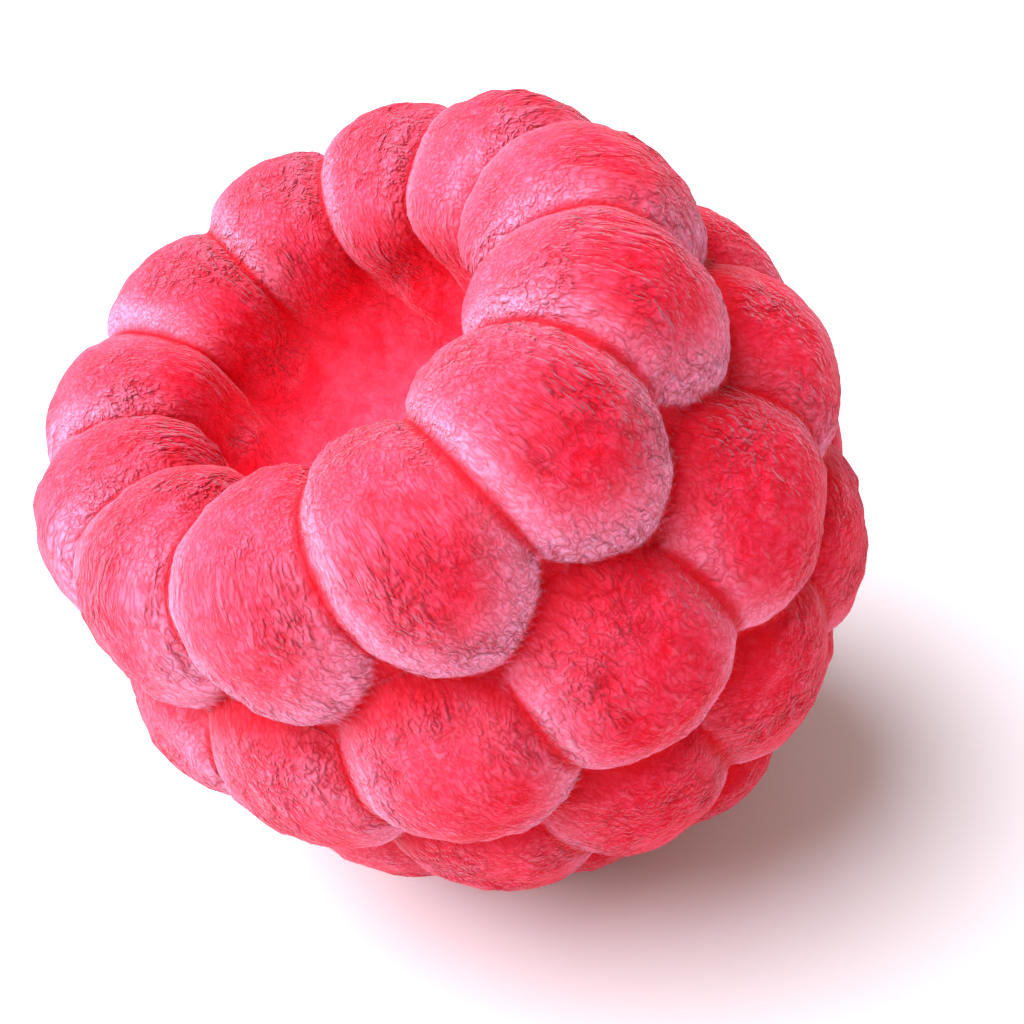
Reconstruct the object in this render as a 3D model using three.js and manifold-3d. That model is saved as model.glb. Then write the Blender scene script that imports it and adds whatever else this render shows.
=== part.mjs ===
// A picked raspberry: a hollow cup of drupelets in rings, lying on a few of its lowest drupelets.
// Millimetres and degrees, +Z up. The fruit is modelled upright, with its own axis pointing out
// of the hollow that the stem plug left, and is then leaned over and set down on z = 0.

import * as THREE from 'three';
import { mergeVertices } from 'three/addons/utils/BufferGeometryUtils.js';
import Module from 'manifold-3d';

// The wall under the drupelets, as half of its section: from the middle of the hollow's floor,
// up the inner wall, over the rim and down the outside to the tip. Each point is a radius from
// the axis and a height above the widest part of the fruit.
const wallSection = [
  [0, -1.5],
  [2.6, -1.1],
  [3.9, 1.0],
  [4.45, 3.5],
  [4.9, 5.4],
  [7.2, 5.2],
  [8.4, 1.4],
  [8.8, -1.3],
  [6.9, -6.5],
  [3.9, -9.1],
  [0, -10.2],
];

// The rings of drupelets, from the rim to the tip. reach is the distance of a ring's middle line
// from the top of the wall, measured down the outside. halfLength runs along the section and
// halfWidth across it, and height stands out of the wall. turn is the first drupelet's direction.
const rings = [
  { count: 12, reach: 0.4, halfLength: 4.3, halfWidth: 2.1, height: 1.35, turn: 0 },
  { count: 12, reach: 6.9, halfLength: 2.85, halfWidth: 2.65, height: 1.1, turn: 14 },
  { count: 12, reach: 11.8, halfLength: 2.85, halfWidth: 2.4, height: 1.1, turn: 1 },
  { count: 9, reach: 16.6, halfLength: 2.6, halfWidth: 2.1, height: 1.1, turn: 12 },
  { count: 5, reach: 19.9, halfLength: 2.1, halfWidth: 2.1, height: 1.3, turn: 28 },
];

// The rim's drupelets grow a little taller towards their outer end. Their inner end is longer than
// halfLength and fades out down the hollow's wall.
const rimOuterTaper = 0.16;
const rimInner = { halfLength: 5.4, taper: 0.6 };
const tip = { halfWidth: 2.0, bottom: -11.2, halfHeight: 2.0 };

// How unevenly it grew: drupelets are larger on one side, the fruit is a little oval, and its
// rim slants. slant is the rise for each millimetre sideways at the rim, and is none at the tip.
const fullness = { amount: 0.05, towards: 19 };
const ovalness = { amount: 0.021, towards: 48 };
const slant = { amount: 0.032, towards: 286, rimHeight: 6, tipHeight: -9 };

// How it lies: the axis leans away from upright, towards a direction seen from above, and the
// fruit is turned about its own axis. Its weight presses the lowest drupelets flat.
const lean = { angle: 27, towards: 191, ownTurn: -81 };
const pressedFlat = 0.22;

const rootDepth = 0.6; // how far a drupelet's root is sunk into the wall
const sectionSteps = 32;
const turnSteps = 36;
const rimSides = 16; // the rim's drupelets bend sharply, so they are split more finely
const rimBands = 16;
const sides = 12;
const bands = 10;
const weldDistance = 1e-4;
const shortEdge = 0.08;

const radians = THREE.MathUtils.degToRad;
const section = new THREE.SplineCurve(wallSection.map(([r, h]) => new THREE.Vector2(r, h)));
section.arcLengthDivisions = 2000;
const sectionLength = section.getLength();
const crestDistance = findCrest();

// The distance along the section at which the wall is highest.
function findCrest() {
  const steps = 1000;
  let best = 0;
  for (let i = 0; i <= steps; i += 1) {
    if (section.getPointAt(i / steps).y > section.getPointAt(best / steps).y) best = i;
  }
  return (best / steps) * sectionLength;
}

// The uneven growth moves a point of the even fruit to its place on the real one.
function grow(point) {
  const direction = Math.atan2(point.y, point.x);
  const stretch = 1 + ovalness.amount * Math.cos(2 * (direction - radians(ovalness.towards)));
  const x = point.x * stretch;
  const y = point.y * stretch;
  const towards = radians(slant.towards);
  const sideways = x * Math.cos(towards) + y * Math.sin(towards);
  const share = (point.z - slant.tipHeight) / (slant.rimHeight - slant.tipHeight);
  return new THREE.Vector3(x, y, point.z + slant.amount * sideways * share);
}

function growGeometry(geometry) {
  const position = geometry.attributes.position;
  const point = new THREE.Vector3();
  for (let i = 0; i < position.count; i += 1) {
    point.fromBufferAttribute(position, i);
    position.setXYZ(i, ...grow(point));
  }
  return geometry;
}

// The cup under the drupelets, turned from its section.
function wallGeometry() {
  const points = section.getSpacedPoints(sectionSteps).reverse();
  points[0].x = 0;
  points[sectionSteps].x = 0;
  const geometry = new THREE.LatheGeometry(points, turnSteps);
  geometry.rotateX(Math.PI / 2);
  return growGeometry(geometry);
}

// A sphere bent over the wall, with its poles at the two ends that lie along the section.
function drupeletGeometry(ring, direction) {
  const size = 1 + fullness.amount * Math.cos(direction - radians(fullness.towards));
  const middle = crestDistance + ring.reach;
  const middleRadius = section.getPointAt(middle / sectionLength).x;
  const halfAngle = (ring.halfWidth * size) / middleRadius;
  const isRim = ring === rings[0];
  const geometry = new THREE.SphereGeometry(1, isRim ? rimSides : sides, isRim ? rimBands : bands);
  const position = geometry.attributes.position;
  for (let i = 0; i < position.count; i += 1) {
    const along = position.getY(i);
    const outward = position.getZ(i);
    const isInner = isRim && along < 0;
    const halfLength = isInner ? rimInner.halfLength : ring.halfLength;
    const outerTaper = isRim ? rimOuterTaper : 0;
    const taper = isInner ? rimInner.taper : outerTaper;
    const distance = middle + halfLength * size * along;
    const share = THREE.MathUtils.clamp(distance / sectionLength, 0, 1);
    const foot = section.getPointAt(share);
    const tangent = section.getTangentAt(share);
    const tallness = ring.height * size * (1 + taper * along);
    const standOut = outward * (outward > 0 ? tallness : rootDepth);
    const radius = foot.x - tangent.y * standOut;
    const turned = direction - halfAngle * position.getX(i);
    const height = foot.y + tangent.x * standOut;
    position.setXYZ(i, radius * Math.cos(turned), radius * Math.sin(turned), height);
  }
  return growGeometry(geometry);
}

// The drupelet on the axis, at the very tip.
function tipGeometry() {
  const geometry = new THREE.SphereGeometry(1, sides, bands);
  geometry.rotateX(Math.PI / 2);
  geometry.scale(tip.halfWidth, tip.halfWidth, tip.halfHeight);
  geometry.translate(0, 0, tip.bottom + tip.halfHeight);
  return growGeometry(geometry);
}

const wasm = await Module();
wasm.setup();

function toSolid(geometry) {
  geometry.deleteAttribute('normal');
  geometry.deleteAttribute('uv');
  const merged = mergeVertices(geometry, weldDistance);
  return new wasm.Manifold(new wasm.Mesh({
    numProp: 3,
    vertProperties: merged.attributes.position.array,
    triVerts: new Uint32Array(merged.index.array),
  }));
}

function toGeometry(solid) {
  const mesh = solid.getMesh();
  const geometry = new THREE.BufferGeometry();
  geometry.setAttribute('position', new THREE.BufferAttribute(mesh.vertProperties, 3));
  geometry.setIndex(new THREE.BufferAttribute(mesh.triVerts, 1));
  return geometry;
}

// The wall with every drupelet joined to it, upright.
function uprightFruit() {
  let fruit = toSolid(wallGeometry()).add(toSolid(tipGeometry()));
  for (const ring of rings) {
    for (let i = 0; i < ring.count; i += 1) {
      const direction = radians(ring.turn + (360 * i) / ring.count);
      fruit = fruit.add(toSolid(drupeletGeometry(ring, direction)));
    }
  }
  return toGeometry(fruit);
}

// Leans the fruit over and drops it until its lowest point is pressedFlat below z = 0.
function layDown(geometry) {
  const towards = radians(lean.towards);
  const leanAxis = new THREE.Vector3(-Math.sin(towards), Math.cos(towards), 0);
  geometry.rotateZ(radians(lean.ownTurn));
  geometry.applyMatrix4(new THREE.Matrix4().makeRotationAxis(leanAxis, radians(lean.angle)));
  geometry.computeBoundingBox();
  const box = geometry.boundingBox;
  const middle = box.getCenter(new THREE.Vector3());
  geometry.translate(-middle.x, -middle.y, -box.min.z - pressedFlat);
  return geometry;
}

// Joining leaves very short edges where drupelets meet. Each one is closed up to one end, if the
// two corners have only the two neighbours in common that the faces on either side give them.
function closeShortEdges(geometry) {
  const position = geometry.attributes.position;
  const faces = Array.from({ length: geometry.index.count / 3 }, (_, face) => (
    [0, 1, 2].map((corner) => geometry.index.getX(3 * face + corner))
  ));
  const facesAt = Array.from({ length: position.count }, () => new Set());
  faces.forEach((corners, face) => corners.forEach((vertex) => facesAt[vertex].add(face)));
  const neighbours = (vertex) => new Set([...facesAt[vertex]].flatMap((face) => faces[face]));
  const place = (vertex) => new THREE.Vector3().fromBufferAttribute(position, vertex);

  for (let face = 0; face < faces.length; face += 1) {
    for (let corner = 0; corner < 3; corner += 1) {
      const kept = faces[face][corner];
      const gone = faces[face][(corner + 1) % 3];
      if (!facesAt[kept].has(face) || place(kept).distanceTo(place(gone)) > shortEdge) continue;
      const around = neighbours(kept);
      const shared = [...neighbours(gone)].filter((vertex) => around.has(vertex));
      if (shared.length !== 4) continue;
      for (const touched of facesAt[gone]) {
        if (facesAt[kept].has(touched)) {
          faces[touched].forEach((vertex) => facesAt[vertex].delete(touched));
        } else {
          faces[touched] = faces[touched].map((vertex) => (vertex === gone ? kept : vertex));
          facesAt[kept].add(touched);
        }
      }
      facesAt[gone].clear();
    }
  }
  const left = faces.filter((corners, face) => facesAt[corners[0]].has(face));
  geometry.setIndex(left.flat());
  return geometry;
}

// Everything below z = 0 is cut off, which leaves the small flats that the fruit rests on.
function pressFlat(geometry) {
  const side = 40;
  const below = new THREE.BoxGeometry(side, side, side);
  below.translate(0, 0, -side / 2);
  return toGeometry(toSolid(geometry).subtract(toSolid(below)));
}

const skin = new THREE.MeshStandardMaterial({ color: 0xe0284a, roughness: 0.85, metalness: 0 });
const raspberry = new THREE.Mesh(pressFlat(layDown(closeShortEdges(uprightFruit()))), skin);
raspberry.name = 'raspberry';

const fruit = new THREE.Group();
fruit.add(raspberry);

export default fruit;
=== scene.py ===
"""A picked raspberry, dressed around its CAD frame: velvety drupelets round an open hollow.

The skin is one mesh. It follows the wall's section, and drupelets stand out of it by the same rule
as in the CAD part. What its relief and colours go by is worked out at each vertex and painted on
it. Short down lies on the skin.
"""

import math

import bpy
import numpy as np
from mathutils import Matrix, Vector


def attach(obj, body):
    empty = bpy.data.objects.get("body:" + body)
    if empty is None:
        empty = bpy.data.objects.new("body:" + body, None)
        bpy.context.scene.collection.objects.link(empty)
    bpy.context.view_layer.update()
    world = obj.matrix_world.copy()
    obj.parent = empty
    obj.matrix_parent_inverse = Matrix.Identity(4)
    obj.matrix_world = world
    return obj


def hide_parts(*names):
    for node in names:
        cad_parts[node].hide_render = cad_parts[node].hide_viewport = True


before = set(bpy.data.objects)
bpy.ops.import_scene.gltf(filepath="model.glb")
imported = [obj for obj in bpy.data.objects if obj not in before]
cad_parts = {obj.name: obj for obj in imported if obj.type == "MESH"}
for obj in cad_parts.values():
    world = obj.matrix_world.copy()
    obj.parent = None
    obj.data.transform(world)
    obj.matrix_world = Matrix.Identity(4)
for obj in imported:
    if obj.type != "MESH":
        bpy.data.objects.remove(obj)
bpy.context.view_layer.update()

MM = 0.001

# ---------------------------------------------------------------- the fruit's form, in millimetres

# Half of the wall's section: from the middle of the hollow's floor, up the inner wall, over the
# rim and down the outside to the tip, each point a radius and a height.
WALL_SECTION = [
    (0, -1.5),
    (2.6, -1.1),
    (3.9, 1.0),
    (4.45, 3.5),
    (4.9, 5.4),
    (7.2, 5.2),
    (8.4, 1.4),
    (8.8, -1.3),
    (6.9, -6.5),
    (3.9, -9.1),
    (0, -10.2),
]
SPAN_STEPS = 300  # how finely the curve between two of these points is followed

# The rings of drupelets, from the rim to the tip. reach is how far down the outside a ring's
# middle line is from the top of the wall, and turn is the first drupelet's direction in degrees.
RINGS = [
    dict(count=12, reach=0.4, half_length=4.3, half_width=2.1, height=1.35, turn=0),
    dict(count=12, reach=6.9, half_length=2.85, half_width=2.65, height=1.1, turn=14),
    dict(count=12, reach=11.8, half_length=2.85, half_width=2.4, height=1.1, turn=1),
    dict(count=9, reach=16.6, half_length=2.6, half_width=2.1, height=1.1, turn=12),
    dict(count=5, reach=19.9, half_length=2.1, half_width=2.1, height=1.3, turn=28),
]
RIM_OUTER_TAPER = 0.16
RIM_INNER = dict(half_length=5.4, taper=0.6)
TIP = dict(half_width=2.0, bottom=-11.2, half_height=2.0)

# Uneven growth, as directions round the axis in degrees and amounts.
FULLNESS = dict(amount=0.05, towards=19)
OVALNESS = dict(amount=0.021, towards=48)
SLANT = dict(amount=0.032, towards=286, rim_height=6, tip_height=-9)

# How it lies.
LEAN = dict(angle=27, towards=191, own_turn=-81)
PRESSED_FLAT = 0.22

# ---------------------------------------------------------------- the skin's relief, in millimetres

INNER_ROWS = 58  # rows of faces up the hollow's wall
OUTER_ROWS = 172  # rows of faces from the top of the rim to the tip
COLUMNS = 426

# Two drupelets meet in a soft groove instead of a knife edge. The crease between them is partly
# filled, where both stand out of the wall, and the groove lowers it again over a wider strip.
CREASE_WIDTH = 0.09  # how softly two drupelets meet
CREASE_FILL = 0.5  # height of the filling, as a share of the crease's width
FILLED_ABOVE = 0.1  # the height at which both stand out enough for the whole filling
GROOVE_DEPTH, GROOVE_WIDTH = 0.14, 0.8

# In the hollow they meet more softly and fade into the wall.
HOLLOW_CREASE_WIDTH = 0.3
SOFT_FOOT, FOOT_HEIGHT = 0.22, 0.5  # how softly they fade, and up to about what height
SOFTER_FROM, SOFTER_OVER = 1.5, 2.5  # distances down the inner wall

LUMP_SIZE, LUMP_HEIGHT = 1.7, 0.055
DIMPLE_SIZE, DIMPLE_HEIGHT = 0.55, 0.055
WRINKLE_SIZE, WRINKLE_HEIGHT = 0.3, 0.035
FOLD_SIZE, FOLD_HEIGHT = 0.85, 0.3  # loose folds on the inner ends of the rim's drupelets
BEND_SIZE, BEND = 0.9, 0.35  # how far dimples, wrinkles and folds wander
CREASE_REACH = 0.22  # the step in height up to which a place counts as in the crease
CALM = dict(crease=0.7, shaded_end=0.5)  # the share of all but lumps that is lost in these places

# How crumpled the skin is: everywhere, more or less by patches, more on low ends, less inside.
PATCH_SIZE = 1.3
CRUMPLED = dict(everywhere=0.35, patches=0.8, small_patches=0.5, low_end=0.4, lost_in_hollow=0.4)

PIT_ODDS, PIT_DEPTH, PIT_WIDTH = 0.55, 0.09, 0.12  # the pits that fallen style hairs leave
PIT_PLACE = 0.35  # how far from a drupelet's middle its pit can be, as a share of its half size
PIT_HALF_LENGTH, PIT_HALF_WIDTH = 2.9, 2.3  # about those of a drupelet that has a pit

HAIR_COUNT = 24000
HAIR_LENGTH = (0.05, 0.11)
HAIR_RADIUS = (0.006, 0.010)
HAIR_LIFT = (20, 65)  # degrees from lying flat
HAIR_ROOT = 0.02  # how deep its foot is sunk into the skin
HAIR_FLOW_SIZE, HAIR_DISORDER = 0.8, 0.35  # of the swirls that hairs lie in
HAIR_BARE_BELOW = 0.02  # no hair grows on the flats that the fruit lies on
HAIR_CLEARANCE = 0.005  # and none reaches the floor
HAIR_LOST_IN_CREASE = 1.6  # above 1, the crease's sides are bare too

# The seeds of the noise and of the random draws. A noise of vectors uses three in a row.
SEEDS = dict(pits=7, bend=7, lumps=11, dimples=12, patches=13, wrinkles=14, small_patches=15)
SEEDS.update(folds=16, hair_flow=18, down=27)

# ---------------------------------------------------------------- the skin's looks

LIT_SIDE = (-0.85, -0.15, 0.3)  # the side of every drupelet with more painted sheen and highlight, towards the lit left
# How much painted sheen there is on an outer end, and how much more, as painted highlight, on that
# side, on its flank and edge.
PAINTED_SHEEN = dict(outer_end=0.8, side=0.24, flank=1.1, edge=0.15, most=0.8, lost_in_crease=0.7)
SHEEN_ON_PUCKERS = dict(everywhere=0.55, puckers=0.3, pucker_highlights=0.12)  # how the painted sheen lies on the puckers, with painted highlights on their tops
HOLLOW_GLOW = dict(everywhere=0.6, clumps=0.5)  # how the hollow's painted glow, a pale pink as if lit through the skin, clumps
GLOW_LOST_ON_LIT_SIDE = 0.8  # the share of that painted glow that is lost on the side facing the key light
GRAIN_STRETCH = 0.75  # below 1, crinkles are longer along the section than across it
INNER_GRAIN = 1.3  # how much wider than the hollow its grain is laid out

CLUMPS = dict(scale=2.4, detail=2.0, roughness=0.6, distortion=0.6)
FIBRES = dict(scale=11.0, detail=1.0, roughness=0.6, distortion=0.4)
WIDE_CRINKLES = dict(scale=1.8, detail=2.0, valley=0.045)
FINE_CRINKLES = dict(scale=6.0, detail=1.0, valley=0.07)
PUCKER = 0.22  # how wide a slope a pucker has, as a range of the noise

# How strongly each mark colours the skin. The upper ends are darkened as painted shade and partly
# the fruit's own deeper red, the creases, crinkle valleys and pits as painted shade, and the inner
# wall is brightened as painted glow.
TINGE = dict(shaded_end=0.8, crease=0.9, inside=0.85, wide_valley_shade=0.6, fine_valley_shade=0.22, pit=0.45)
# How high each kind of crinkle stands in the bump, and how many mm its unit is.
BUMP = dict(wide=1.35, fine=0.5, fibres=0.15, unit=0.125)
BUMP_LOST = 0.7  # the share of it that is lost in creases and on sheltered ends
BUMP_UNCRUMPLED = 0.2  # the share of it that stays where the skin isn't crumpled

# ---------------------------------------------------------------- the camera

CAMERA_DISTANCE = 54.6  # mm from the origin of the fruit's own frame
CAMERA_ELEVATION = 37.8
CAMERA_ROLL = -7.6
AIM_RIGHT, AIM_UP = 1.48, -0.62  # mm from the fruit's origin to the middle of the picture
LENS, SENSOR = 76.0, 36.0


# ---------------------------------------------------------------- the section


def spline(points, steps):
    """A Catmull-Rom curve through the points, each span cut into equal steps."""
    points = np.array(points, float)
    last = len(points) - 1
    place = np.linspace(0, last, last * steps + 1)
    span = np.minimum(place.astype(int), last - 1)
    share = (place - span)[:, None]
    before, start = points[np.maximum(span - 1, 0)], points[span]
    end, after = points[span + 1], points[np.minimum(span + 2, last)]
    leave, arrive = (end - before) / 2, (after - start) / 2
    cubic = (2 * start - 2 * end + leave + arrive) * share**3
    square = (-3 * start + 3 * end - 2 * leave - arrive) * share**2
    return cubic + square + leave * share + start


section = spline(WALL_SECTION, SPAN_STEPS)
section_steps = np.linalg.norm(np.diff(section, axis=0), axis=1)
section_distance = np.concatenate([[0], np.cumsum(section_steps)])
section_length = section_distance[-1]
crest = section_distance[section[:, 1].argmax()]


def on_section(distance):
    """Radius and height of the wall at a distance along its section, and its outward normal."""
    distance = np.clip(distance, 0, section_length)
    nudge = section_length / 2000  # a little to either side, which gives the wall's direction
    radius = np.interp(distance, section_distance, section[:, 0])
    height = np.interp(distance, section_distance, section[:, 1])
    across = np.interp(distance + nudge, section_distance, section[:, 0])
    across = across - np.interp(distance - nudge, section_distance, section[:, 0])
    along = np.interp(distance + nudge, section_distance, section[:, 1])
    along = along - np.interp(distance - nudge, section_distance, section[:, 1])
    length = np.hypot(across, along)
    return radius, height, -along / length, across / length


# ---------------------------------------------------------------- noise


def lattice_value(x, y, z, seed):
    """A repeatable number from -1 to 1 for each whole-number place, by mixing up its bits."""
    mixed = x * 374761393 + y * 668265263 + z * 2147483647 + seed * 974711
    mixed = (mixed ^ (mixed >> 13)) * 1274126177
    mixed = (mixed ^ (mixed >> 16)) & 0xFFFFFF
    return mixed / 0x7FFFFF - 1.0


def noise(points, size, seed):
    """Smooth noise from -1 to 1, with features of this size."""
    place = points / size
    cell = np.floor(place).astype(np.int64)
    share = place - cell
    share = share**3 * (share * (share * 6 - 15) + 10)
    total = np.zeros(len(points))
    for corner in np.ndindex(2, 2, 2):
        weight = np.prod(np.where(np.array(corner) == 1, share, 1 - share), axis=1)
        at = cell + np.array(corner)
        total += weight * lattice_value(at[:, 0], at[:, 1], at[:, 2], seed)
    return total


def folded(points, size, seed):
    """Noise with sharp valleys, as crumpled skin has: from -0.6 in a valley to 1.4."""
    return 2 * np.abs(noise(points, size, seed)) ** 0.8 - 0.6


def noise_vectors(points, size, seed):
    """Smooth noise as a vector for each point."""
    return np.column_stack([noise(points, size, seed + axis) for axis in range(3)])


def step(value, low, high):
    """Rises smoothly from 0 at low to 1 at high."""
    share = np.clip((value - low) / (high - low), 0, 1)
    return share * share * (3 - 2 * share)


def ramp(value, start, slope):
    """Rises or falls evenly with the value, from start where it is 0, and stays from 0 to 1."""
    return np.clip(start + slope * value, 0, 1)


# ---------------------------------------------------------------- the even skin


def drupelet_heights(distance, direction):
    """Height of every drupelet over the wall at each place, and where on it the place is: from
    -1 to 1 along the section, towards the tip, and across it."""
    layers, alongs, acrosses = [], [], []
    for ring in RINGS:
        middle = crest + ring["reach"]
        middle_radius = on_section(np.array(middle))[0]
        for i in range(ring["count"]):
            centre = math.radians(ring["turn"] + 360 * i / ring["count"])
            towards = math.radians(FULLNESS["towards"])
            size = 1 + FULLNESS["amount"] * math.cos(centre - towards)
            half_angle = ring["half_width"] * size / middle_radius
            half_length, taper = ring["half_length"], 0.0
            if ring is RINGS[0]:
                inner = distance < middle
                half_length = np.where(inner, RIM_INNER["half_length"], half_length)
                taper = np.where(inner, RIM_INNER["taper"], RIM_OUTER_TAPER)
            along = (distance - middle) / (half_length * size)
            turned = (direction - centre + math.pi) % (2 * math.pi) - math.pi
            across = turned / half_angle
            round_share = np.clip(1 - along**2 - across**2, 0, None)
            height = ring["height"] * size * (1 + taper * along) * np.sqrt(round_share)
            layers.append(height)
            alongs.append(along)
            acrosses.append(across)
    layers.append(tip_height(distance))
    alongs.append((distance - section_length) / TIP["half_width"])
    acrosses.append(np.zeros(len(distance)))
    return np.array(layers), np.array(alongs), np.array(acrosses)


def tip_height(distance):
    """Height of the round tip over the wall, along the wall's normal."""
    radius, height, normal_r, normal_h = on_section(distance)
    wide, tall = TIP["half_width"], TIP["half_height"]
    drop = height - (TIP["bottom"] + tall)
    square = (normal_r / wide) ** 2 + (normal_h / tall) ** 2
    linear = radius * normal_r / wide**2 + drop * normal_h / tall**2
    rest = (radius / wide) ** 2 + (drop / tall) ** 2 - 1
    inside = linear**2 - square * rest
    reach = (-linear + np.sqrt(np.clip(inside, 0, None))) / square
    return np.where(inside > 0, np.clip(reach, 0, None), 0)


def soft_height(first, second, distance):
    """The skin's height over the wall, from the highest drupelet's and the next one's there."""
    gap = first - second
    softer = np.clip((crest - SOFTER_FROM - distance) / SOFTER_OVER, 0, 1)
    width = CREASE_WIDTH + (HOLLOW_CREASE_WIDTH - CREASE_WIDTH) * softer
    both = np.clip(second / FILLED_ABOVE, 0, 1)
    height = first + width * np.exp(-gap / width) * CREASE_FILL * both
    height -= GROOVE_DEPTH * (1 - softer) * np.exp(-((gap / GROOVE_WIDTH) ** 2))
    foot = SOFT_FOOT * softer
    return np.hypot(height, foot) - foot * np.exp(-height / FOOT_HEIGHT)


def blurred(values, rows):
    """The values, smoothed over the neighbouring rows and columns, with the poles left alone."""
    grid = values[1:-1].reshape(rows, COLUMNS)
    grid = (np.roll(grid, 1, axis=1) + 2 * grid + np.roll(grid, -1, axis=1)) / 4
    padded = np.vstack([grid[:1], grid, grid[-1:]])
    grid = (padded[:-2] + 2 * grid + padded[2:]) / 4
    return np.concatenate([values[:1], grid.ravel(), values[-1:]])


def grow(points):
    """The uneven growth moves a point of the even fruit to its place on the real one."""
    direction = np.arctan2(points[:, 1], points[:, 0])
    turned = 2 * (direction - math.radians(OVALNESS["towards"]))
    stretch = 1 + OVALNESS["amount"] * np.cos(turned)
    x, y = points[:, 0] * stretch, points[:, 1] * stretch
    towards = math.radians(SLANT["towards"])
    sideways = x * math.cos(towards) + y * math.sin(towards)
    share = (points[:, 2] - SLANT["tip_height"]) / (SLANT["rim_height"] - SLANT["tip_height"])
    return np.column_stack([x, y, points[:, 2] + SLANT["amount"] * sideways * share])


def grid_places():
    """Distance along the section and direction round the axis of every vertex. The first vertex
    is the middle of the hollow's floor, and the last is the tip."""
    inner = np.linspace(0, crest, INNER_ROWS + 1)[1:]
    outer = np.linspace(crest, section_length, OUTER_ROWS + 1)[1:-1]
    rows = np.concatenate([inner, outer])
    columns = np.linspace(0, 2 * math.pi, COLUMNS, endpoint=False)
    distance, direction = np.meshgrid(rows, columns, indexing="ij")
    distance = np.concatenate([[0], distance.ravel(), [section_length]])
    direction = np.concatenate([[0], direction.ravel(), [0]])
    return distance, direction, len(rows)


def grid_faces(rows):
    """Quads between the rows, and a fan of triangles at each pole."""
    column = np.arange(COLUMNS)
    after = (column + 1) % COLUMNS
    faces = []
    for row in range(rows - 1):
        here, there = 1 + row * COLUMNS, 1 + (row + 1) * COLUMNS
        faces.extend(zip(here + column, there + column, there + after, here + after))
    last = 1 + (rows - 1) * COLUMNS
    faces.extend(zip(np.zeros(COLUMNS, int), 1 + column, 1 + after))
    faces.extend(zip(np.full(COLUMNS, rows * COLUMNS + 1), last + after, last + column))
    return [tuple(int(corner) for corner in face) for face in faces]


def lay_down(points):
    """Turns and leans the fruit. The move that sets it on the floor is found from the result."""
    towards = math.radians(LEAN["towards"])
    axis = Vector((-math.sin(towards), math.cos(towards), 0))
    turn = Matrix.Rotation(math.radians(LEAN["angle"]), 3, axis)
    turn = turn @ Matrix.Rotation(math.radians(LEAN["own_turn"]), 3, "Z")
    return points @ np.array(turn).T


def set_down(points):
    """The move that centres the fruit and sinks its lowest point PRESSED_FLAT below the floor."""
    low, high = points.min(axis=0), points.max(axis=0)
    middle = (low + high) / 2
    return np.array([-middle[0], -middle[1], -low[2] - PRESSED_FLAT])


# ---------------------------------------------------------------- the marks on the skin


def pits(owner, along, across):
    """How deep in a pit each place is, from 0 to 1. Only some drupelets have one."""
    draw = np.random.default_rng(SEEDS["pits"])
    drupelets = owner.max() + 1
    place = draw.uniform(-PIT_PLACE, PIT_PLACE, (2, drupelets))
    present = draw.random(drupelets) < PIT_ODDS
    away_along = (along - place[0][owner]) * PIT_HALF_LENGTH
    away_across = (across - place[1][owner]) * PIT_HALF_WIDTH
    away = np.hypot(away_along, away_across)
    return present[owner] * np.exp(-((away / PIT_WIDTH) ** 2))


def grain_places(distance, direction):
    """Where the crinkles' noise is read for each place. The wall is laid out as a tube along its
    section, so that crinkles run along the section and have no seam."""
    wall_radius = on_section(distance)[0]
    outside = distance > distance[wall_radius.argmax()]
    inner_tube = np.minimum(INNER_GRAIN * wall_radius, wall_radius.max())
    tube = np.where(outside, wall_radius, inner_tube)
    grain = np.array([tube * np.cos(direction), tube * np.sin(direction), distance])
    return grain.T * (1, 1, GRAIN_STRETCH)


def skin_marks(distance, direction, gap, owner, along, across):
    """What the relief and the colours go by at each place. edge is 0 in the middle of a drupelet
    and 1 where it meets the wall. grain is a place for the crinkles' noise. The others are shares
    from 0 to 1: a drupelet's flanks, its outer end, its end that the ring above it shelters, the
    crease between two, the hollow's floor, the inner wall, and the pits."""
    climb = distance / crest  # 0 in the middle of the hollow's floor, and 1 on top of the rim
    edge = np.hypot(along, across)
    hollow = ramp(climb, start=1.2, slope=-1.5)
    return dict(
        edge=edge,
        flank=step(np.abs(across), low=0.25, high=1.0),
        outer_end=step(edge, low=0.45, high=0.95) * ramp(along, start=0.45, slope=0.8),
        shaded_end=step(edge, low=0.5, high=0.95) * ramp(along, start=0.25, slope=-0.9),
        crease=np.exp(-((gap / CREASE_REACH) ** 2)) * (1 - hollow),
        hollow=hollow,
        inside=step(1 - climb, low=0.1, high=0.4),
        pit=pits(owner, along, across),
        grain=grain_places(distance, direction),
    )


def crumpled_share(points, marks):
    """How crumpled each place is: more in some patches, and at the low end of a drupelet."""
    small = noise(points, PATCH_SIZE / 2, SEEDS["small_patches"])
    patches = noise(points, PATCH_SIZE, SEEDS["patches"]) + CRUMPLED["small_patches"] * small
    low_end = step(marks["edge"], low=0.5, high=0.95) * (1 - marks["shaded_end"])
    share = CRUMPLED["everywhere"] + CRUMPLED["patches"] * patches + CRUMPLED["low_end"] * low_end
    return np.clip(share, 0, 1) * (1 - CRUMPLED["lost_in_hollow"] * marks["hollow"])


def painted_sheen_share(facing_lit_side, marks):
    """How much painted sheen and highlight each place has, from how far it faces the lit side and
    from its marks.
    """
    added = PAINTED_SHEEN["side"] + PAINTED_SHEEN["flank"] * marks["flank"] + PAINTED_SHEEN["edge"] * marks["edge"]
    painted_sheen = np.clip(PAINTED_SHEEN["outer_end"] * marks["outer_end"] + facing_lit_side * added, 0, PAINTED_SHEEN["most"])
    return painted_sheen * (1 - PAINTED_SHEEN["lost_in_crease"] * marks["crease"]) * (1 - marks["hollow"])


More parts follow.
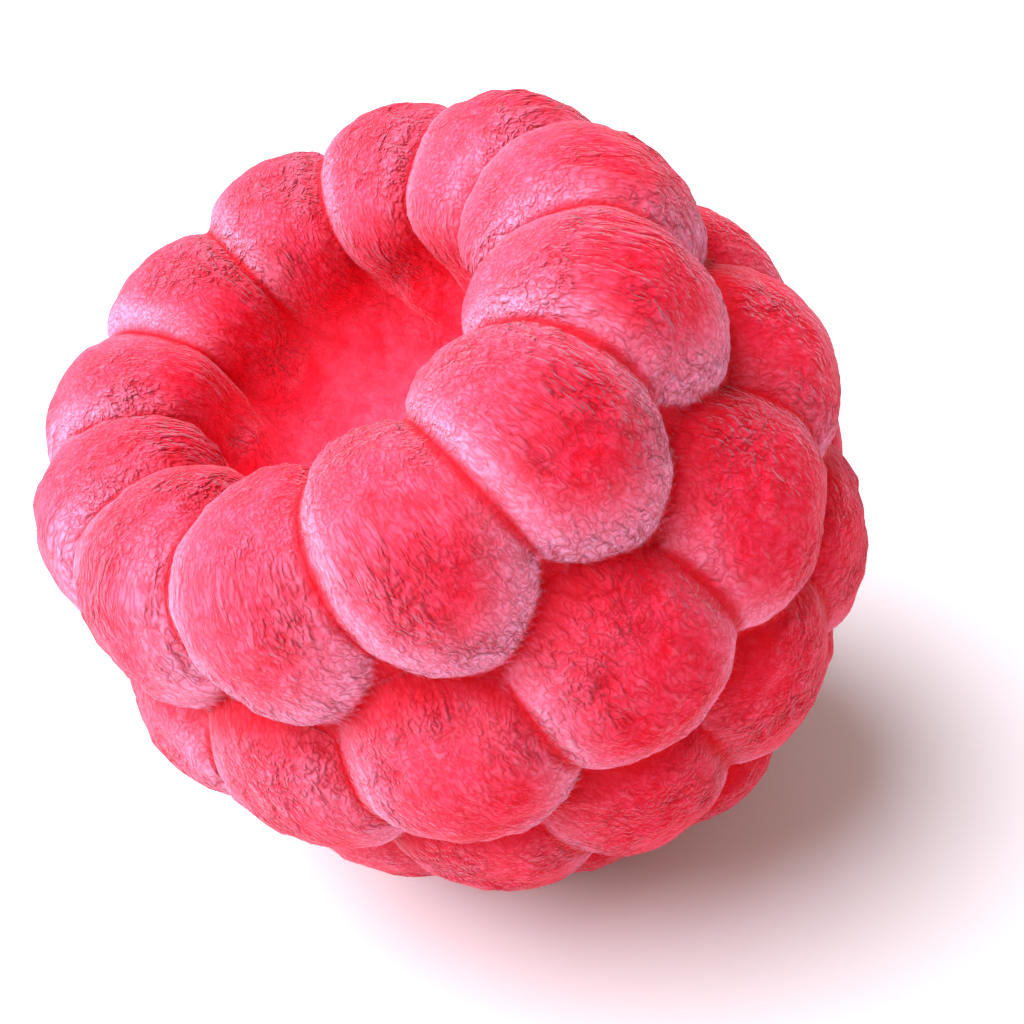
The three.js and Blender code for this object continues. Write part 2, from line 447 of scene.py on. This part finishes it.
def relief_height(points, marks):
    """Height of the lumps, dimples, wrinkles, folds and pits over the even skin."""
    bent = points + BEND * noise_vectors(points, BEND_SIZE, SEEDS["bend"])
    calm = (1 - CALM["crease"] * marks["crease"]) * (1 - CALM["shaded_end"] * marks["shaded_end"])
    loose = calm * marks["inside"] * (1 - marks["hollow"])
    wrinkled = calm * marks["crumpled"]
    relief = LUMP_HEIGHT * noise(points, LUMP_SIZE, SEEDS["lumps"])
    relief += DIMPLE_HEIGHT * calm * noise(bent, DIMPLE_SIZE, SEEDS["dimples"])
    relief += WRINKLE_HEIGHT * wrinkled * folded(bent, WRINKLE_SIZE, SEEDS["wrinkles"])
    relief += FOLD_HEIGHT * loose * folded(bent, FOLD_SIZE, SEEDS["folds"])
    relief -= PIT_DEPTH * marks["pit"]
    return relief


# ---------------------------------------------------------------- meshes


def add_object(name, data):
    added = bpy.data.objects.new(name, data)
    bpy.context.collection.objects.link(added)
    return added


def smooth_mesh(name, points, faces):
    """A smoothly shaded mesh of points in millimetres."""
    mesh = bpy.data.meshes.new(name)
    mesh.from_pydata((points * MM).tolist(), [], faces)
    mesh.polygons.foreach_set("use_smooth", np.ones(len(mesh.polygons), bool))
    return mesh


def vertex_normals(points, faces):
    """Outward normals of the skin, before its relief is added."""
    mesh = bpy.data.meshes.new("normals")
    mesh.from_pydata(points.tolist(), [], faces)
    normals = np.empty(len(points) * 3, np.float32)
    mesh.vertex_normals.foreach_get("vector", normals)
    bpy.data.meshes.remove(mesh)
    return normals.reshape(-1, 3).astype(float)


def paint(mesh, name, values):
    """Keeps a number, or a vector, for every vertex, which the material reads by name."""
    kind, field = ("FLOAT", "value") if values.ndim == 1 else ("FLOAT_VECTOR", "vector")
    layer = mesh.attributes.new(name, kind, "POINT")
    layer.data.foreach_set(field, values.ravel().astype(np.float32))


def even_skin():
    """The skin's vertices and faces before its relief, and its marks, on the upright fruit."""
    distance, direction, rows = grid_places()
    layers, alongs, acrosses = drupelet_heights(distance, direction)
    ranked = np.sort(layers, axis=0)
    first, second = ranked[-1], ranked[-2]
    owner = layers.argmax(axis=0)
    along = np.take_along_axis(alongs, owner[None], axis=0)[0]
    across = np.take_along_axis(acrosses, owner[None], axis=0)[0]
    height = blurred(soft_height(first, second, distance), rows)
    wall_radius, wall_level, normal_r, normal_h = on_section(distance)
    radius = wall_radius + normal_r * height
    level = wall_level + normal_h * height
    points = np.column_stack([radius * np.cos(direction), radius * np.sin(direction), level])
    marks = skin_marks(distance, direction, first - second, owner, along, across)
    return grow(points), grid_faces(rows), marks


# ---------------------------------------------------------------- nodes and colours


class Nodes:
    """Adds nodes to a material or a world and links them as they are made."""

    def __init__(self, owner):
        owner.use_nodes = True
        self.tree = owner.node_tree
        self.tree.nodes.clear()

    def add(self, kind, inputs=None, **settings):
        node = self.tree.nodes.new(kind)
        for name, value in settings.items():
            setattr(node, name, value)
        for name, value in (inputs or {}).items():
            self.connect(node.inputs[name], value)
        return node

    def connect(self, socket, value):
        """Links a socket to another node's output, or sets it to a constant."""
        if isinstance(value, bpy.types.NodeSocket):
            self.tree.links.new(value, socket)
        else:
            socket.default_value = value

    def maths(self, operation, first, second=0.0, clamp=False):
        inputs = {0: first, 1: second}
        node = self.add("ShaderNodeMath", inputs, operation=operation, use_clamp=clamp)
        return node.outputs[0]

    def plus(self, first, second, clamp=False):
        return self.maths("ADD", first, second, clamp)

    def times(self, first, second, clamp=False):
        return self.maths("MULTIPLY", first, second, clamp)

    def noise(self, vector, scale, detail, roughness, distortion):
        inputs = {"Vector": vector, "Scale": scale, "Detail": detail}
        inputs.update({"Roughness": roughness, "Distortion": distortion})
        return self.add("ShaderNodeTexNoise", inputs).outputs["Fac"]

    def mix(self, share, first, second):
        inputs = {0: share, 6: first, 7: second}
        return self.add("ShaderNodeMix", inputs, data_type="RGBA").outputs[2]

    def between(self, value, low, high):
        """Rises evenly from 0 where the value is low to 1 where it is high."""
        inputs = {"Value": value, "From Min": low, "From Max": high}
        return self.add("ShaderNodeMapRange", inputs).outputs["Result"]

    def spread(self, value, low, high):
        """Rises evenly from low where the value is 0 to high where it is 1."""
        inputs = {"Value": value, "To Min": low, "To Max": high}
        return self.add("ShaderNodeMapRange", inputs).outputs["Result"]

    def painted(self, name):
        return self.add("ShaderNodeAttribute", attribute_name=name).outputs["Fac"]

    def surface(self, inputs):
        """Ends a material in one Principled shader."""
        shader = self.add("ShaderNodeBsdfPrincipled", inputs)
        self.add("ShaderNodeOutputMaterial", {"Surface": shader.outputs["BSDF"]})


def colour(red, green, blue):
    """A linear colour from screen values of 0 to 255."""
    return tuple((value / 255) ** 2.2 for value in (red, green, blue)) + (1.0,)


BODY = colour(214, 20, 42)
LIGHT = colour(224, 44, 72)
# A deep red for painted shade: in the creases, and on the upper ends, where it is partly the
# fruit's own deeper red.
DEEP_SHADE_RED = colour(194, 4, 20)
# A dark red for painted shade in the crinkles' valleys and in the pits.
RECESS_SHADE = colour(168, 4, 26)
# A pale pink for painted sheen and painted highlights.
SHEEN_PALE = colour(246, 172, 212)
# A bright red for painted glow on the hollow's inner wall.
INNER_GLOW_RED = colour(255, 17, 48)
# A pale pink for painted light on the hollow's floor.
HOLLOW_GLOW_PINK = colour(255, 176, 226)
FLOOR_WHITE = (0.78, 0.78, 0.78, 1)
SHEEN_PINK = (1.0, 0.7, 0.85, 1.0)

# ---------------------------------------------------------------- the skin's material


def crinkles(nodes, scale, detail, valley):
    """Puffed puckers, and the winding valleys between them: both from 0 to 1. A valley runs
    where the noise has its middle value, a half."""
    grain = nodes.add("ShaderNodeAttribute", attribute_name="grain").outputs["Vector"]
    value = nodes.noise(grain, scale, detail, roughness=0.55, distortion=0.35)
    away = nodes.maths("ABSOLUTE", nodes.maths("SUBTRACT", value, 0.5))
    return nodes.between(away, low=0.0, high=PUCKER), nodes.between(away, low=valley, high=0.0)


def skin_colour(nodes, clumps, wide, fine):
    """The body colour with its painted sheen, and over it, one by one, what the marks tinge:
    painted shade, painted glow and the upper ends' own deeper red.
    """
    wide_pucker, wide_valley = wide
    fine_pucker, fine_valley = fine
    sheen_strength = nodes.plus(nodes.times(fine_pucker, SHEEN_ON_PUCKERS["puckers"]), SHEEN_ON_PUCKERS["everywhere"])
    sheen_coat = nodes.times(nodes.painted("painted_sheen"), sheen_strength)
    # Pale tops of the puckers: painted highlight.
    pucker_highlights = nodes.times(wide_pucker, nodes.times(fine_pucker, SHEEN_ON_PUCKERS["pucker_highlights"]))
    clumped = nodes.times(nodes.between(clumps, low=0.3, high=0.7), HOLLOW_GLOW["clumps"])
    glow_share = nodes.plus(clumped, HOLLOW_GLOW["everywhere"])
    # The valleys between the wide crinkles are darker red where the skin is crumpled: painted
    # shade.
    wide_valley_shade = nodes.times(wide_valley, nodes.painted("crumpled"))
    coats = [
        # Paler on the lit side and the outer ends, and on pucker tops: painted sheen and painted
        # highlight.
        (nodes.plus(sheen_coat, pucker_highlights, clamp=True), SHEEN_PALE),
        # The upper end of each drupelet, under the ring above, darker red: painted shade, and
        # partly the fruit's own deeper red.
        (nodes.times(nodes.painted("shaded_end"), TINGE["shaded_end"]), DEEP_SHADE_RED),
        # Creases between drupelets darker red: painted shade.
        (nodes.times(nodes.painted("crease"), TINGE["crease"]), DEEP_SHADE_RED),
        # The inner wall brighter red: painted glow.
        (nodes.times(nodes.painted("inside"), TINGE["inside"]), INNER_GLOW_RED),
        # The hollow's floor paler pink in clumps: painted light, less where the key light falls.
        (nodes.times(nodes.painted("hollow"), glow_share, clamp=True), HOLLOW_GLOW_PINK),
        # Darker valleys of both sizes of crinkle: painted shade.
        (nodes.times(wide_valley_shade, TINGE["wide_valley_shade"]), RECESS_SHADE),
        (nodes.times(fine_valley, TINGE["fine_valley_shade"]), RECESS_SHADE),
        # The pits darker red: painted shade.
        (nodes.times(nodes.painted("pit"), TINGE["pit"]), RECESS_SHADE),
    ]
    base = nodes.mix(nodes.between(clumps, low=0.38, high=0.62), BODY, LIGHT)
    for share, coat in coats:
        base = nodes.mix(share, base, coat)
    return base


def skin_bump(nodes, fibres, wide_pucker, fine_pucker):
    """The crinkles that are too fine for the mesh. They are high where the skin is crumpled."""
    added = nodes.times(nodes.painted("crumpled"), 1 - BUMP_UNCRUMPLED)
    crumpled = nodes.plus(added, BUMP_UNCRUMPLED)
    wide = nodes.times(nodes.times(wide_pucker, BUMP["wide"]), crumpled)
    fine = nodes.times(fine_pucker, nodes.plus(crumpled, BUMP_UNCRUMPLED))
    height = nodes.plus(wide, nodes.times(fine, BUMP["fine"]))
    height = nodes.plus(height, nodes.times(fibres, BUMP["fibres"]))
    quiet = nodes.maths("MAXIMUM", nodes.painted("crease"), nodes.painted("shaded_end"))
    kept = nodes.maths("SUBTRACT", 1.0, nodes.times(quiet, BUMP_LOST))
    inputs = {"Height": nodes.times(height, kept), "Strength": 1.0, "Distance": BUMP["unit"] * MM}
    return nodes.add("ShaderNodeBump", inputs).outputs["Normal"]


def skin_material():
    material = bpy.data.materials.new("drupelet_skin")
    nodes = Nodes(material)
    place = nodes.add("ShaderNodeTexCoord").outputs["Object"]
    in_mm = nodes.add("ShaderNodeVectorMath", {0: place, "Scale": 1 / MM}, operation="SCALE")
    clumps = nodes.noise(in_mm.outputs[0], **CLUMPS)
    fibres = nodes.noise(in_mm.outputs[0], **FIBRES)
    wide = crinkles(nodes, **WIDE_CRINKLES)
    fine = crinkles(nodes, **FINE_CRINKLES)
    nodes.surface({
        "Base Color": skin_colour(nodes, clumps, wide, fine),
        "Roughness": nodes.spread(fibres, low=0.75, high=0.95),
        "Normal": skin_bump(nodes, fibres, wide[0], fine[0]),
        "Specular IOR Level": 0.08,
        "Sheen Weight": 0.3,
        "Sheen Roughness": 0.35,
        "Sheen Tint": SHEEN_PINK,
    })
    return material


# ---------------------------------------------------------------- the skin

even, faces, marks = even_skin()
laid = lay_down(even)
origin = set_down(laid)
laid = laid + origin
normals = vertex_normals(laid, faces)
marks["crumpled"] = crumpled_share(laid, marks)
finished = laid + normals * relief_height(laid, marks)[:, None]
finished[:, 2] = np.maximum(finished[:, 2], 0)

# Painted sheen and highlight: paler on the side facing the key light, on flanks and on outer ends.
facing_lit_side = np.clip(normals @ np.array(LIT_SIDE), 0, 1)
marks["painted_sheen"] = painted_sheen_share(facing_lit_side, marks)
# The hollow's painted light is less on the side facing the key light.
marks["hollow"] = marks["hollow"] * (1 - GLOW_LOST_ON_LIT_SIDE * facing_lit_side)

skin = add_object("raspberry_skin", smooth_mesh("raspberry_skin", finished, faces))
for mark in ("crease", "hollow", "inside", "painted_sheen", "shaded_end", "crumpled", "pit", "grain"):
    paint(skin.data, mark, marks[mark])
skin.data.materials.append(skin_material())

# ---------------------------------------------------------------- the down


def scattered(count, weight, draw):
    """Random places on the skin, by area and weight, and the nearby vertex of each."""
    corners = np.array([face[:3] for face in faces])
    first, second, third = (finished[corners[:, i]] for i in range(3))
    area = np.linalg.norm(np.cross(second - first, third - first), axis=1)
    share = area * weight[corners[:, 0]]
    chosen = draw.choice(len(corners), count, p=share / share.sum())
    u, v = draw.random((2, count, 1))
    spot = first[chosen] + u * (second - first)[chosen] + v * (third - second)[chosen] * u
    return spot, corners[chosen, 0]


def build_down(name, count):
    """Short hairs that lie half flat on the skin in changing directions, each a closed needle."""
    draw = np.random.default_rng(SEEDS["down"])
    bare = HAIR_LOST_IN_CREASE * marks["crease"]
    weight = np.clip(1 - bare - marks["shaded_end"] - marks["hollow"], 0, 1)
    weight = weight * np.where(finished[:, 2] > HAIR_BARE_BELOW, 1, 0)
    spot, vertex = scattered(count, weight, draw)
    outward = normals[vertex]
    flow = noise_vectors(spot, HAIR_FLOW_SIZE, SEEDS["hair_flow"])
    flow = flow + HAIR_DISORDER * draw.normal(size=flow.shape)
    flow -= outward * (flow * outward).sum(axis=1, keepdims=True)
    flow /= np.linalg.norm(flow, axis=1, keepdims=True)
    lift = np.radians(draw.uniform(*HAIR_LIFT, (count, 1)))
    lean = flow * np.cos(lift) + outward * np.sin(lift)
    side = np.cross(outward, flow)
    across = np.cross(lean, side)
    length = draw.uniform(*HAIR_LENGTH, (count, 1))
    thick = draw.uniform(*HAIR_RADIUS, (count, 1))
    low = spot - outward * HAIR_ROOT
    tip = low + lean * length
    tip[:, 2] = np.maximum(tip[:, 2], HAIR_CLEARANCE)
    turns = [2 * math.pi * i / 3 for i in range(3)]
    foot = [low + thick * (side * math.cos(turn) + across * math.sin(turn)) for turn in turns]
    corners = np.stack([*foot, tip], axis=1).reshape(-1, 3)
    start = 4 * np.arange(count)[:, None]
    sides = np.array([[0, 1, 3], [1, 2, 3], [2, 0, 3], [0, 2, 1]])
    triangles = (start[:, :, None] + sides[None]).reshape(-1, 3)
    mesh = smooth_mesh(name, corners, triangles.tolist())
    paint(mesh, "own", np.repeat(draw.random(count), 4))
    paint(mesh, "painted_sheen", np.repeat(marks["painted_sheen"][vertex], 4))
    return add_object(name, mesh)


def down_material():
    """The skin's colours, with its painted sheen. Each hair has its own number, which makes it
    lighter and rougher.
    """
    material = bpy.data.materials.new("down")
    nodes = Nodes(material)
    own = nodes.painted("own")
    base = nodes.mix(own, BODY, LIGHT)
    nodes.surface({
        # Paler where the skin has painted sheen.
        "Base Color": nodes.mix(nodes.times(nodes.painted("painted_sheen"), 0.6), base, SHEEN_PALE),
        "Roughness": nodes.spread(own, low=0.6, high=0.9),
        "Specular IOR Level": 0.08,
        "Sheen Weight": 0.1,
    })
    return material


down = build_down("raspberry_down", HAIR_COUNT)
down.data.materials.append(down_material())

for piece in (skin, down):
    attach(piece, "root")
    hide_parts("raspberry")

# ---------------------------------------------------------------- the studio


def make_floor(half):
    """A matt white floor. half is half the length of its side, in metres."""
    mesh = bpy.data.meshes.new("floor")
    corners = [(-half, -half, 0), (half, -half, 0), (half, half, 0), (-half, half, 0)]
    mesh.from_pydata(corners, [], [(0, 1, 2, 3)])
    material = bpy.data.materials.new("floor_white")
    matt = {"Base Color": FLOOR_WHITE, "Roughness": 0.9, "Specular IOR Level": 0.1}
    Nodes(material).surface(matt)
    mesh.materials.append(material)
    add_object("floor", mesh)


def make_sun(name, place, softness, strength, tint):
    """Soft daylight that comes from a place's direction; softness is its width in degrees."""
    data = bpy.data.lights.new(name, "SUN")
    data.angle = math.radians(softness)
    data.energy = strength
    data.color = tint
    light = add_object(name, data)
    light.location = Vector(place) * MM
    light.rotation_euler = Vector(place).to_track_quat("Z", "Y").to_euler()


def make_world():
    """A sky that is bright at the horizon, behind the fruit, and dimmer overhead."""
    world = bpy.data.worlds.new("studio")
    bpy.context.scene.world = world
    nodes = Nodes(world)
    direction = nodes.add("ShaderNodeTexCoord").outputs["Generated"]
    rise = nodes.add("ShaderNodeSeparateXYZ", {"Vector": direction}).outputs["Z"]
    limits = {"Value": rise, "From Min": 0.22, "From Max": 0.5, "To Min": 0.88, "To Max": 0.38}
    strength = nodes.add("ShaderNodeMapRange", limits).outputs["Result"]
    warm_white = {"Color": (1, 0.95, 0.87, 1), "Strength": strength}
    background = nodes.add("ShaderNodeBackground", warm_white)
    nodes.add("ShaderNodeOutputWorld", {"Surface": background.outputs["Background"]})


def make_camera():
    """Looks at the fruit from the front and above, a little beside its origin, and rolled."""
    data = bpy.data.cameras.new("camera")
    data.lens, data.sensor_width = LENS, SENSOR
    data.clip_start, data.clip_end = 1 * MM, 10000 * MM
    camera = add_object("camera", data)
    elevation, roll = math.radians(CAMERA_ELEVATION), math.radians(CAMERA_ROLL)
    back = Vector((0, -math.cos(elevation), math.sin(elevation)))
    level_up = Vector((0, math.sin(elevation), math.cos(elevation)))
    right = Vector((1, 0, 0)) * math.cos(roll) + level_up * math.sin(roll)
    up = back.cross(right)
    place = Vector(origin) + back * CAMERA_DISTANCE
    aim = Vector(origin) + right * AIM_RIGHT + up * AIM_UP
    back = (place - aim).normalized()
    right = up.cross(back).normalized()
    up = back.cross(right)
    turn = Matrix((right, up, back)).transposed()
    camera.matrix_world = Matrix.Translation(place * MM) @ turn.to_4x4()
    bpy.context.scene.camera = camera


bpy.context.scene.view_settings.view_transform = "Standard"
make_floor(half=0.6)
make_world()
make_sun("key", place=(-80, 5, 110), softness=70, strength=6.8, tint=(1.0, 0.95, 1.06))
make_camera()
